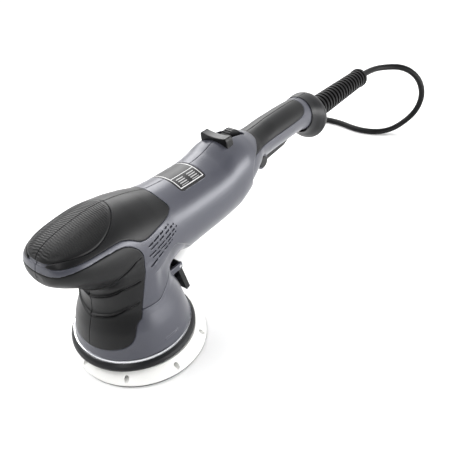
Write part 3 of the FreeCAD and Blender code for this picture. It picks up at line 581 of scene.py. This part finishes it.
def curve_through(stations, at, column):
    """A smooth monotone curve through one column of the stations."""
    xs = np.array([row[0] for row in stations], float)
    ys = np.array([row[column] for row in stations], float)
    steps = np.diff(xs)
    slopes = np.diff(ys) / steps
    ends = np.zeros(len(xs))
    ends[0], ends[-1] = slopes[0], slopes[-1]
    for k in range(1, len(xs) - 1):
        if slopes[k - 1] * slopes[k] > 0:
            w1 = 2 * steps[k] + steps[k - 1]
            w2 = steps[k] + 2 * steps[k - 1]
            ends[k] = (w1 + w2) / (w1 / slopes[k - 1] + w2 / slopes[k])
    at = np.clip(at, xs[0], xs[-1])
    k = np.clip(np.searchsorted(xs, at) - 1, 0, len(xs) - 2)
    t = (at - xs[k]) / steps[k]
    a = (1 + 2 * t) * (1 - t) ** 2 * ys[k]
    b = t * (1 - t) ** 2 * steps[k] * ends[k]
    c = t**2 * (3 - 2 * t) * ys[k + 1]
    d = t**2 * (t - 1) * steps[k] * ends[k + 1]
    return (a + b + c + d).astype(np.float32)


def oval(across, wide, along, tall):
    """Distance to an ellipse from offsets and half sizes along its two axes."""
    u, v = across / wide, along / tall
    share = np.sqrt(u * u + v * v) + TINY
    slope = np.sqrt((u / wide) ** 2 + (v / tall) ** 2) + TINY
    return share * (share - 1) / slope


def stack(grid, stations):
    """An oval tube along X through the stations."""
    if stations is BODY:
        nose = stations[0][0]
        warped = [(math.sqrt(row[0] - nose), *row[1:]) for row in stations]
        at = np.sqrt(np.clip(grid.x - nose, 0, None))
    else:
        warped, at = stations, grid.x
    top = curve_through(warped, at, 1)
    bottom = curve_through(warped, at, 2)
    wide = curve_through(warped, at, 3)
    tall = (top - bottom) / 2
    field = oval(grid.y, wide, grid.z - (top + bottom) / 2, tall)
    return np.maximum(field, stations[0][0] - grid.x)


def bell_round(grid):
    """The neck and bell, round about Z, up to the middle of the body."""
    radius = curve_through(BELL, grid.z, 1)
    field = np.sqrt(grid.x**2 + grid.y**2) - radius
    return smooth_max(field, grid.z - NECK_TOP, NECK_TOP_EDGE)


def body_field(grid):
    """Distance to the outside of body, neck and bell, melted together."""
    melted = smooth_min(stack(grid, BODY), bell_round(grid), NECK_BLEND)
    return grid.distance(melted) + scoop(grid)


def outline(grid, points, soft):
    """Signed distance to a closed (X, Z) outline with its corners cut; negative inside."""
    ring = np.array(points, float)
    keep = 1 - soft
    for _ in range(CORNER_CUTS):
        ahead = np.roll(ring, -1, axis=0)
        ring = np.stack([ring * keep + ahead * soft, ring * soft + ahead * keep], 1).reshape(-1, 2)
    x, z = grid.x[:, :, 0], grid.z[:, 0, :]
    nearest = np.full((x.shape[0], z.shape[1]), 1e9)
    inside = np.zeros_like(nearest, bool)
    for (x0, z0), (x1, z1) in zip(ring, np.roll(ring, -1, axis=0)):
        dx, dz = x1 - x0, z1 - z0
        run = dx * dx + dz * dz
        t = np.clip(((x - x0) * dx + (z - z0) * dz) / (run + LEVEL), 0, 1)
        gap = np.hypot(x - x0 - t * dx, z - z0 - t * dz)
        nearest = np.minimum(nearest, gap)
        if abs(dz) > LEVEL:
            crosses = (z0 > z) != (z1 > z)
            inside ^= crosses & (x < x0 + (z - z0) * dx / dz)
    return np.where(inside, -nearest, nearest)[:, None, :].astype(np.float32)


def pad_oval(grid):
    """The palm pad's edge, seen from above."""
    middle, long, wide = PAD
    return oval(grid.x - middle, long, grid.y, wide)


def box_field(grid, low, high, radius):
    """Distance to a box with rounded edges."""
    gaps = []
    for axis, a, b in zip((grid.x, grid.y, grid.z), low, high):
        gaps.append(np.abs(axis - (a + b) / 2) - (b - a) / 2 + radius)
    outside = np.sqrt(sum(np.maximum(g, 0) ** 2 for g in gaps))
    inside = np.minimum(np.maximum(np.maximum(gaps[0], gaps[1]), gaps[2]), 0)
    return outside + inside - radius


def split_field(grid):
    """Negative below the tilted joint, as far as the rear of the neck."""
    slope = SPLIT[1]
    plane = (grid.z - SPLIT[0] - slope * grid.x) / math.sqrt(1 + slope * slope)
    plane = np.maximum(plane, grid.x - BELL_BACK)
    low = np.maximum(grid.z - BELL_TOP, grid.x - BELL_REAR)
    return np.minimum(plane, low)


def ramp(value):
    """Rises smoothly from 0 to 1."""
    value = np.clip(value, 0, 1)
    return value * value * (3 - 2 * value)


def fade_in(value, start, over):
    """Rises from 0 to 1 between a start and a distance past it."""
    return ramp((value - start) / over)


def vents(grid):
    """Rounded slots in five rows that lean towards each other at the rear."""
    field = np.full(np.broadcast_shapes(grid.x.shape, grid.z.shape), VENT_FAR, np.float32)
    for x0, z0, slope, dashes in VENT_ROWS:
        tilt = math.hypot(1, slope)
        for start, end in dashes:
            along = (grid.x - (start + end) / 2) * tilt
            across = (grid.z - z0 - slope * (grid.x - x0)) / tilt
            gap = np.maximum(np.abs(along) - (end - start) / 2 * tilt, 0)
            field = np.minimum(field, np.hypot(gap, across) - VENT_HALF)
    return field


def scoop(grid):
    """Depth of the hollow behind the neck, sharp along its upper crease."""
    xs = [row[0] for row in CREASE]
    crease = np.interp(grid.x, xs, [row[1] for row in CREASE]).astype(np.float32)
    drop = crease - grid.z
    depth = fade_in(drop, 0, 2.2) * (1 - fade_in(drop, 9, 24))
    depth = depth * fade_in(grid.x, -1, 14) * (1 - fade_in(grid.x, 50, 12))
    return SCOOP_DEPTH * depth * fade_in(np.abs(grid.y), 8, 10)


def wall(outer):
    """Plastic of even thickness under a surface."""
    return np.maximum(outer, -(outer + WALL))


def sink(shell, outer, zone, depth):
    """Lowers a shell's surface by a depth, inside a zone."""
    return np.maximum(shell, -np.maximum(zone, -(outer + depth)))


def rubber_skin(top, outer, edge):
    """Rubber between its top and the plastic, as far as a rounded edge."""
    skin = np.maximum(top, -(outer + SKIN - SKIN_LIFT))
    return smooth_max(skin, edge, SKIN_EDGE)


def half(grid, field, gap, edge):
    """The half of a field that lies at negative Y."""
    return smooth_max(field, grid.y + gap, edge)


def bore_screws(grid, field, screws):
    """Opens a bore round each screw's head."""
    for x, z, face in screws:
        across = np.hypot(grid.x - x, grid.z - z) - BORE_R
        bore = np.maximum(across, grid.y + face - BORE_DEPTH)
        field = smooth_max(field, -bore, BORE_EDGE)
    return field


# ---- moulded pieces -------------------------------------------------------------
def make_housing():
    grid = Grid((-82, -44, 54), (192, 1, 160), 0.5)
    outer = body_field(grid)
    zone_cap = outline(grid, CAP_OUTLINE, CAP_SOFT)
    zone_chin = outline(grid, CHIN_OUTLINE, SOFT)
    rubber = np.minimum(zone_cap, zone_chin)
    shell = sink(wall(outer), outer, rubber - RECESS_GAP, SKIN)
    shell = smooth_max(shell, -outline(grid, RIM_OUTLINE, SOFT), RIM_EDGE)
    shell = smooth_max(shell, JOINT_GAP - split_field(grid), JOINT_EDGE)
    shell = np.maximum(shell, -vents(grid))
    shell = sink(shell, outer, box_field(grid, *LABEL_BED, LABEL_CORNER), LABEL_DEPTH)
    well = box_field(grid, *DIAL_WELL, DIAL_WELL_CORNER)
    shell = smooth_max(shell, -well, DIAL_WELL_EDGE)
    shell = half(grid, shell, SEAM, SEAM_EDGE)
    add_piece("shell_left", grid.mesh(shell, "shell_left"), "housing_left")
    shell = bore_screws(grid, shell, BODY_SCREWS)
    add_piece("shell_right", grid.mesh(shell, "shell_right", flip=True), "housing_right")


MARK_DEG, MARK_R = -92.0, 51.0         # middle of the mark, round the bell
MARK_Z, MARK_BOW = 32.2, 0.006
MARK_HALF_LINE, MARK_HALF_LENGTH = 0.55, 7.5
HEAD_Z, HEAD_SLOPE = 31.8, 0.5
HEAD_BASE, HEAD_TIP = 6.2, 9.6
MARK_EDGE, MARK_HEIGHT = 0.5, 0.6
MARK_TOP = 40                          # the mark lies below this
BELL_RIM = 23.7                        # lower edge of the bell
BELL_INSIDE = 30.0                     # the pawl's hole starts here
PAST_SEAM = 0.3


def turn_mark(grid):
    """A raised arc with an arrow head, low on the bell's side."""
    angle = np.degrees(np.arctan2(grid.y, grid.x))
    along = np.radians(angle - MARK_DEG) * MARK_R
    arc = np.abs(grid.z - MARK_Z + MARK_BOW * along**2) - MARK_HALF_LINE
    arc = np.maximum(arc, np.abs(along) - MARK_HALF_LENGTH)
    head = np.abs(grid.z - HEAD_Z) - HEAD_SLOPE * (HEAD_TIP - along)
    head = np.maximum(head, HEAD_BASE - along)
    return np.clip(0.5 - np.minimum(arc, head) / MARK_EDGE, 0, 1) * MARK_HEIGHT


def make_bell():
    grid = Grid((-57, -57, 22), (62, 1, 80), 0.42)
    outer = body_field(grid) - turn_mark(grid) * (grid.z < MARK_TOP)
    chin = outline(grid, CHIN_OUTLINE, SOFT)
    shell = sink(wall(outer), outer, chin - RECESS_GAP, SKIN)
    shell = smooth_max(shell, split_field(grid) + JOINT_GAP, JOINT_EDGE)
    shell = smooth_max(shell, BELL_RIM - grid.z, 0.5)
    lug = box_field(grid, *BELL_LUG, 1.0)
    shell = np.minimum(shell, np.maximum(lug, -(outer + 1.0)))
    height, radius = PAWL_HOLE
    hole = np.hypot(grid.y, grid.z - height) - radius
    shell = np.maximum(shell, -np.maximum(hole, BELL_INSIDE - grid.x))
    shell = np.where(grid.y > PAST_SEAM, FAR, shell)
    add_piece("bell", grid.mesh(shell, "bell", mirror=True), "bell_housing")


LIP = (1.5, 0.9, 0.95)                 # height, offset up from the ledge's edge, width
GROOVE = (1.3, 0.7, 0.8)               # depth, offset down, width
LIP_FADE, LIP_FADE_FROM, LIP_FADE_OVER = 0.85, 40, 12      # share lost, degrees
RIB_MARGIN, RIB_MARGIN_FADE = 1.2, 3.0
RIBS_TOP = 128
PAD_GROOVE = 0.2                       # edge of the cap round the pad
PAD_GAP = 0.1
PAD_PROUD = 0.25
PAD_LOW = 143.2
WAVE_SWAY, WAVE_RATE, WAVE_BOW = 0.3, 0.8, 0.004
RIDGE_HEIGHT, RIDGE_PITCH, RIDGE_MARGIN = 0.2, 1.95, 1.5


def rib_lines(grid):
    """Height above the skin of the three ledges that wrap the neck."""
    angle = np.degrees(np.arctan2(-grid.y, -grid.x))
    lip_share = 1 - LIP_FADE * fade_in(angle, LIP_FADE_FROM, LIP_FADE_OVER)
    total = 0
    for heights in RIBS:
        edge = np.interp(angle, RIB_ANGLES, heights).astype(np.float32)
        rise = grid.z - edge
        lip = LIP[0] * lip_share * np.exp(-(((rise - LIP[1]) / LIP[2]) ** 2))
        groove = GROOVE[0] * np.exp(-(((rise + GROOVE[1]) / GROOVE[2]) ** 2))
        total = total + lip - groove
    return total


def make_neck_grip():
    grid = Grid((-82, -44, 29), (-5, 1, 140), 0.42)
    outer = body_field(grid)
    zone = outline(grid, CHIN_OUTLINE, SOFT)
    inland = fade_in(-zone, RIB_MARGIN, RIB_MARGIN_FADE)
    outer = outer - inland * rib_lines(grid) * (grid.z < RIBS_TOP)
    skin = rubber_skin(outer, outer, zone + SKIN_GAP)
    skin = half(grid, skin, SEAM, SEAM_EDGE)
    add_piece("neck_rubber", grid.mesh(skin, "neck_rubber", mirror=True), "neck_grip")


def make_nose_cap():
    grid = Grid((-82, -42, 126), (43, 1, 160), 0.5)
    outer = body_field(grid)
    zone = outline(grid, CAP_OUTLINE, CAP_SOFT)
    skin = rubber_skin(outer, outer, zone + SKIN_GAP)
    skin = smooth_max(skin, PAD_GROOVE - pad_oval(grid), SKIN_EDGE)
    skin = half(grid, skin, THIN_SEAM, THIN_SEAM_EDGE)
    add_piece("cap_rubber", grid.mesh(skin, "cap_rubber", mirror=True), "nose_cap")


def make_palm_pad():
    """The soft pad in the cap, with fine wavy ridges across it."""
    grid = Grid((-80, -29, 142), (-6, 1, 160), 0.3)
    outer = body_field(grid)
    edge = pad_oval(grid)
    wave = grid.x + WAVE_SWAY * np.sin(grid.y * WAVE_RATE) + WAVE_BOW * grid.y**2
    ridge = RIDGE_HEIGHT * np.sin(wave * 2 * math.pi / RIDGE_PITCH)
    ridge = ridge * np.clip((-edge - RIDGE_MARGIN) / RIDGE_MARGIN, 0, 1)
    skin = rubber_skin(outer - PAD_PROUD - ridge, outer, edge + PAD_GAP)
    skin = smooth_max(skin, PAD_LOW - grid.z, 0.5)
    skin = half(grid, skin, THIN_SEAM, THIN_SEAM_EDGE)
    add_piece("pad", grid.mesh(skin, "pad", mirror=True, sharp_deg=50), "palm_pad")


def make_label():
    grid = Grid((60, -22, 128), (99, 22, 146), 0.4)
    outer = grid.distance(stack(grid, BODY))
    film = np.maximum(outer + FILM_TOP, -(outer + FILM_BOTTOM))
    film = smooth_max(film, box_field(grid, *LABEL_FILM, LABEL_CORNER), 0.4)
    add_piece("label", grid.mesh(film, "label"), "rating_label")


GUARD_X, GUARD_HALF_X, GUARD_HALF_Y = 139.6, 5.2, 16.2
GUARD_TOP, GUARD_BOW = 153.0, 0.0095
GUARD_LEAN, GUARD_Z = 0.16, 148
GUARD_GAP = 0.2                        # air under it
CORNER_Z, CORNER_HALF_Y = 150, 17.2    # its ends are cut on a slope
CORNER_SLOPE, CORNER_STEEP = 0.5, 1.12


def make_dial_guard():
    """A saddle across the body in front of the speed dial, its ends a little higher."""
    grid = Grid((131, -19, 138), (149, 19, 157.5), 0.35)
    top = GUARD_TOP + GUARD_BOW * grid.y**2
    lean = (grid.x - GUARD_X) + GUARD_LEAN * (grid.z - GUARD_Z)
    block = smooth_max(np.abs(lean) - GUARD_HALF_X, np.abs(grid.y) - GUARD_HALF_Y, 1.2)
    block = smooth_max(block, grid.z - top, 1.0)
    corner = np.abs(grid.y) + (grid.z - CORNER_Z) * CORNER_SLOPE - CORNER_HALF_Y
    block = smooth_max(block, corner / CORNER_STEEP, 0.8)
    block = np.maximum(block, -(grid.distance(stack(grid, BODY)) + GUARD_GAP))
    add_piece("guard", grid.mesh(block, "guard"), "dial_guard")


HANDLE_START, HANDLE_END = 148.2, 312.0
COLLAR_START, COLLAR_END = 294.4, 322.2
COLLAR_SEAT = 312.2        # where the handle ends inside the collar
COLLAR_BORE_R = 15.1
COLLAR_SEAM = 0.1
LEAD_Z = 107.0


def make_handle():
    grid = Grid((146, -34, 74), (313.5, 1, 144), 0.5)
    outer = grid.distance(stack(grid, HANDLE))
    grip = outline(grid, GRIP_OUTLINE, SOFT)
    rim = outline(grid, RIM_OUTLINE, SOFT)
    rubber = np.maximum(grip, rim)
    ends = np.maximum(HANDLE_START - grid.x, grid.x - HANDLE_END)
    shell = sink(wall(outer), outer, rubber - RECESS_GAP, SKIN)
    shell = np.maximum(shell, ends)
    slot = box_field(grid, *TRIGGER_SLOT, TRIGGER_SLOT_CORNER)
    shell = smooth_max(shell, -slot, TRIGGER_SLOT_EDGE)
    shell = half(grid, shell, SEAM, SEAM_EDGE)
    x, z, radius, inside = BEZEL_HOLE
    bezel = np.maximum(np.hypot(grid.x - x, grid.z - z) - radius, grid.y + inside)
    left = np.maximum(shell, -bezel)
    add_piece("frame_left", grid.mesh(left, "frame_left"), "handle_frame_left")
    shell = bore_screws(grid, shell, HANDLE_SCREWS)
    add_piece("frame_right", grid.mesh(shell, "frame_right", flip=True), "handle_frame_right")
    skin = rubber_skin(outer, outer, rubber + SKIN_GAP)
    skin = half(grid, skin, THIN_SEAM, THIN_SEAM_EDGE)
    skin = np.maximum(skin, ends)
    add_piece("grip_rubber", grid.mesh(skin, "grip_rubber", mirror=True), "handle_grip")


def make_collar():
    grid = Grid((292, -30, 76), (324, 1, 139), 0.4)
    outer = grid.distance(stack(grid, COLLAR))
    outer = smooth_max(outer, grid.x - COLLAR_END, 2.0)
    outer = smooth_max(outer, COLLAR_START - grid.x, 0.6)
    inner = grid.distance(stack(grid, HANDLE)) - 0.25
    ring = np.maximum(outer, -np.maximum(inner, grid.x - COLLAR_SEAT))
    bore = np.hypot(grid.y, grid.z - LEAD_Z) - COLLAR_BORE_R
    ring = smooth_max(ring, -bore, 0.8)
    ring = half(grid, ring, COLLAR_SEAM, THIN_SEAM_EDGE)
    add_piece("collar_ring", grid.mesh(ring, "collar_ring", mirror=True), "collar")


# ---- lead -----------------------------------------------------------------------
CORD_R = 4.25
CORD_FLOOR = 4.4
COIL = (100.0, 114.0, 50.0)      # centre and middle radius
COIL_START, COIL_END, COIL_STEP = 90, 2821, 20     # degrees
COIL_PLACES = [                  # column outwards and row upwards of each turn
    (2, 0), (1, 0), (0, 0), (0, 1), (0, 2), (1, 2), (1, 1), (2, 1), (2, 2),
]
COIL_CHANGES = [450, 810, 1110, 1470, 1770, 2070, 2370, 2670]      # degrees where each ends
CHANGE_DEG = 60
ROUND_OUT = 1.0154               # the spline runs inside its points by this much
ROW_RISE = 2.01 * CORD_R
TAIL_DEG = 300.0
PLUG_Z = 12.9
TAIL = ((16.0, 20.0), (31.0, 15.5), (46.0, PLUG_Z))    # distance from the coil, Z
CORD_ROUTE = [
    (463.0, 0.0, 107.0),
    (497.5, 0.0, 107.0),
    (528.0, -12.0, 104.3),
    (544.5, -33.5, 102.6),
    (556.5, -52.5, 87.0),
    (562.0, -61.5, 61.7),
    (560.0, -57.5, 35.0),
    (550.0, -43.5, 15.0),
    (530.0, -29.0, 5.4),
    (513.5, -7.5, CORD_FLOOR),
    (510.5, 18.5, CORD_FLOOR),
    (519.0, 50.0, CORD_FLOOR),
    (516.0, 84.0, CORD_FLOOR),
    (497.0, 109.0, CORD_FLOOR),
    (463.0, 119.0, CORD_FLOOR),
    (424.0, 115.0, CORD_FLOOR),
    (384.0, 114.0, CORD_FLOOR),
    (345.0, 122.0, CORD_FLOOR),
    (308.0, 137.0, CORD_FLOOR),
    (272.0, 150.0, CORD_FLOOR),
    (229.0, 161.0, CORD_FLOOR),
    (186.0, 168.5, CORD_FLOOR),
    (143.0, 172.0, CORD_FLOOR),
]


def coil_points():
    """Turns wound outside in, up, out, down, out and up, each beside the last."""
    points = []
    for angle in range(COIL_START, COIL_END, COIL_STEP):
        done = sum(angle >= end for end in COIL_CHANGES)
        column, row = COIL_PLACES[done]
        if done < len(COIL_CHANGES):
            share = float(fade_in(angle, COIL_CHANGES[done] - CHANGE_DEG, CHANGE_DEG))
            column += (COIL_PLACES[done + 1][0] - column) * share
            row += (COIL_PLACES[done + 1][1] - row) * share
        radius = (COIL[2] + (column - 1) * 2 * CORD_R) * ROUND_OUT
        turn = math.radians(angle)
        x = COIL[0] + radius * math.cos(turn)
        y = COIL[1] + radius * math.sin(turn)
        points.append((x, y, CORD_FLOOR + row * ROW_RISE))
    return points


def tail_points():
    """Down from the top of the coil to the plug."""
    turn = math.radians(TAIL_DEG)
    reach = COIL[2] + 2 * CORD_R
    points = []
    for along, z in TAIL:
        x = COIL[0] + reach * math.cos(turn) - along * math.sin(turn)
        y = COIL[1] + reach * math.sin(turn) + along * math.cos(turn)
        points.append((x, y, z))
    return points


def make_cord():
    curve = bpy.data.curves.new("lead", "CURVE")
    curve.dimensions = "3D"
    curve.bevel_depth = CORD_R * MM
    curve.bevel_resolution = 5
    curve.resolution_u = 8
    curve.use_fill_caps = True
    spline = curve.splines.new("NURBS")
    points = CORD_ROUTE + coil_points() + tail_points()
    spline.points.add(len(points) - 1)
    for point, (x, y, z) in zip(spline.points, points):
        point.co = (x * MM, y * MM, z * MM, 1)
    spline.order_u = 3
    spline.use_endpoint_u = True
    curve.materials.append(CORD)
    lead = bpy.data.objects.new("lead", curve)
    bpy.context.scene.collection.objects.link(lead)
    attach(lead, "tool")
    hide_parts("cord", "cord_coil")


make_floor()
make_cord()
make_housing()
make_bell()
make_neck_grip()
make_nose_cap()
make_palm_pad()
make_label()
make_dial_guard()
make_handle()
make_collar()
